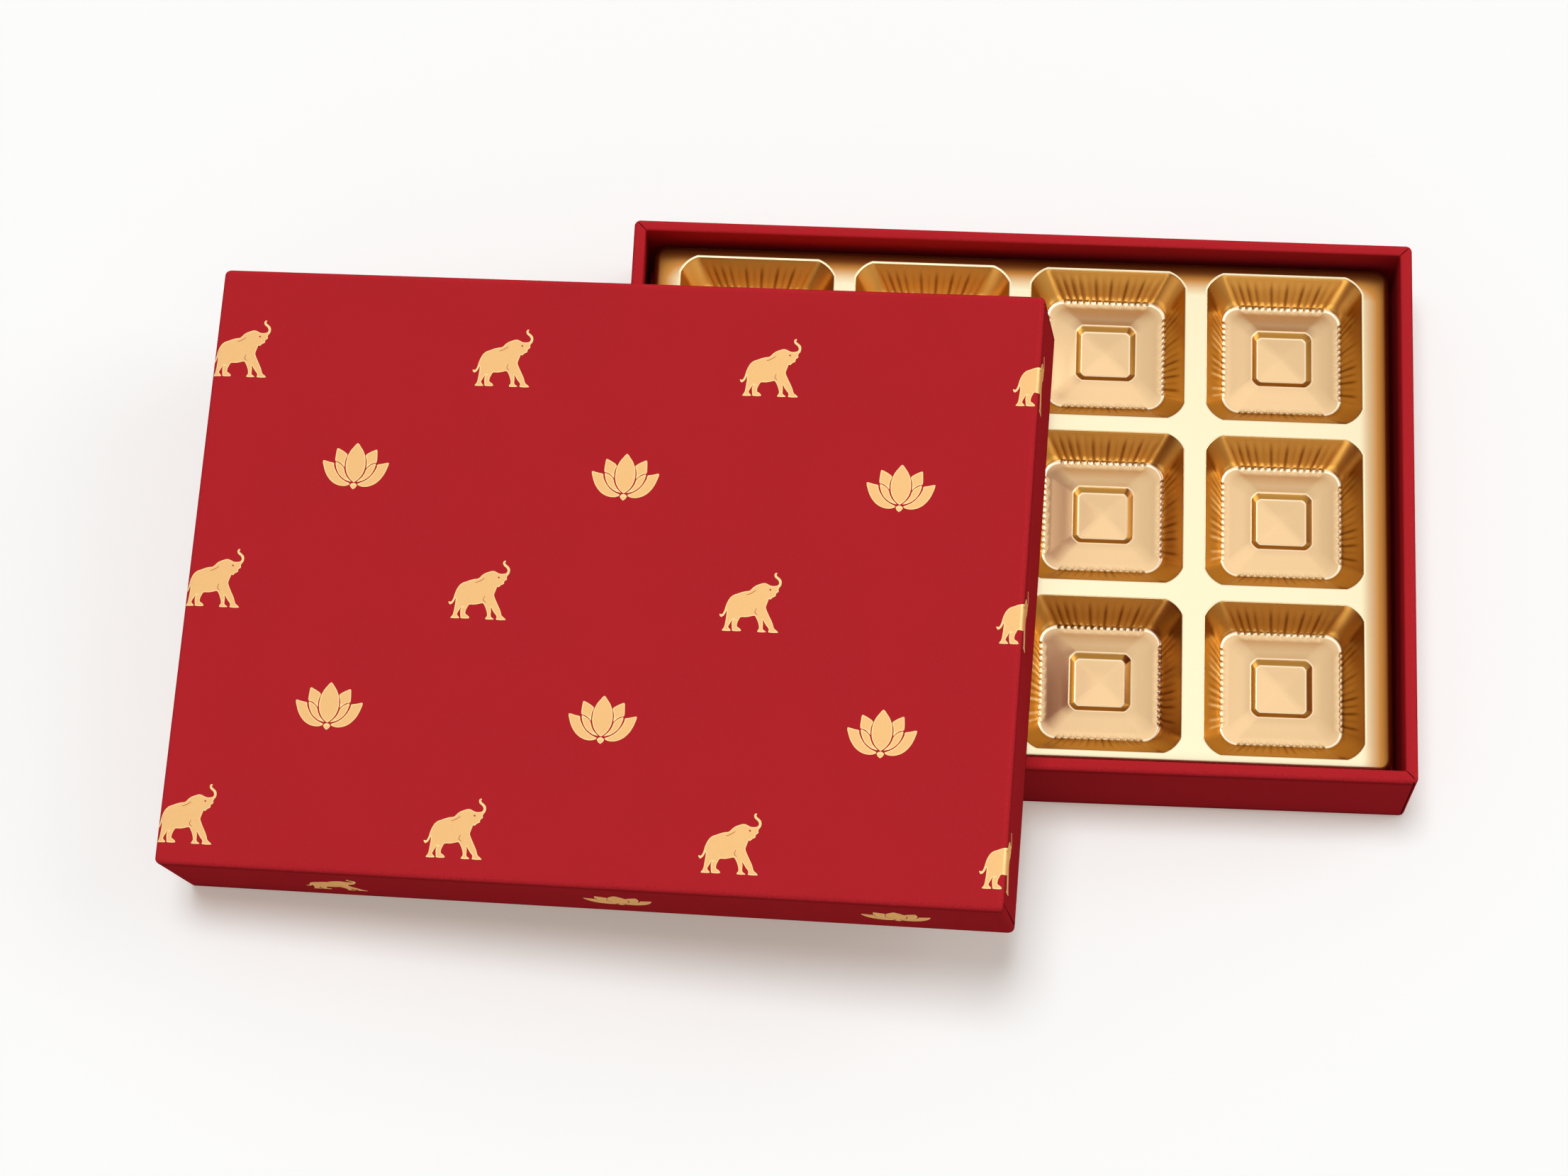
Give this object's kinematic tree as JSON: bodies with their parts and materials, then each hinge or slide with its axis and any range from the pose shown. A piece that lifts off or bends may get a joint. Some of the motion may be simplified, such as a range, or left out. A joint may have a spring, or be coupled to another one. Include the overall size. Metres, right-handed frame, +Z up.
{
  "type": "sweet box",
  "caption": "Rectangular paper-wrapped rigid box for sweets, with a formed metallised insert of square cups and a lift-off lid that leans on the open tray.",
  "frame": {"origin": "centre of the tray's flat underside", "axes": "+X along the tray's length, away from the leaning lid, +Y to the back, +Z up"},
  "size_m": [0.3553, 0.2193, 0.085],
  "materials": {
    "greyboard": "matte",
    "red_paper": "matte",
    "base_paper": "matte",
    "stay_tape": "matte",
    "gold_sheet": "gloss"
  },
  "bodies": {
    "tray": {"tray_floor_board": "greyboard", "tray_front_board": "greyboard", "tray_back_board": "greyboard", "tray_left_board": "greyboard", "tray_right_board": "greyboard", "tray_corner_stays": "stay_tape", "tray_wrap_paper": "red_paper", "tray_lining_paper": "red_paper", "tray_base_sheet": "base_paper"},
    "insert": {"insert_sheet": "gold_sheet"},
    "lid": {"lid_top_board": "greyboard", "lid_front_board": "greyboard", "lid_back_board": "greyboard", "lid_left_board": "greyboard", "lid_right_board": "greyboard", "lid_corner_stays": "stay_tape", "lid_wrap_paper": "red_paper", "lid_lining_paper": "red_paper"}
  },
  "joints": [
    {"name": "lid_lift", "type": "slide", "parent": "tray", "child": "lid", "axis": [0, 0, 1], "range_m": [0, 0.16]},
    {"name": "insert_lift", "type": "slide", "parent": "tray", "child": "insert", "axis": [0, 0, 1], "range_m": [0, 0.08]}
  ],
  "couplings": [
    {"joint": "insert_lift", "follows": "lid_lift", "ratio": 0.5}
  ]
}
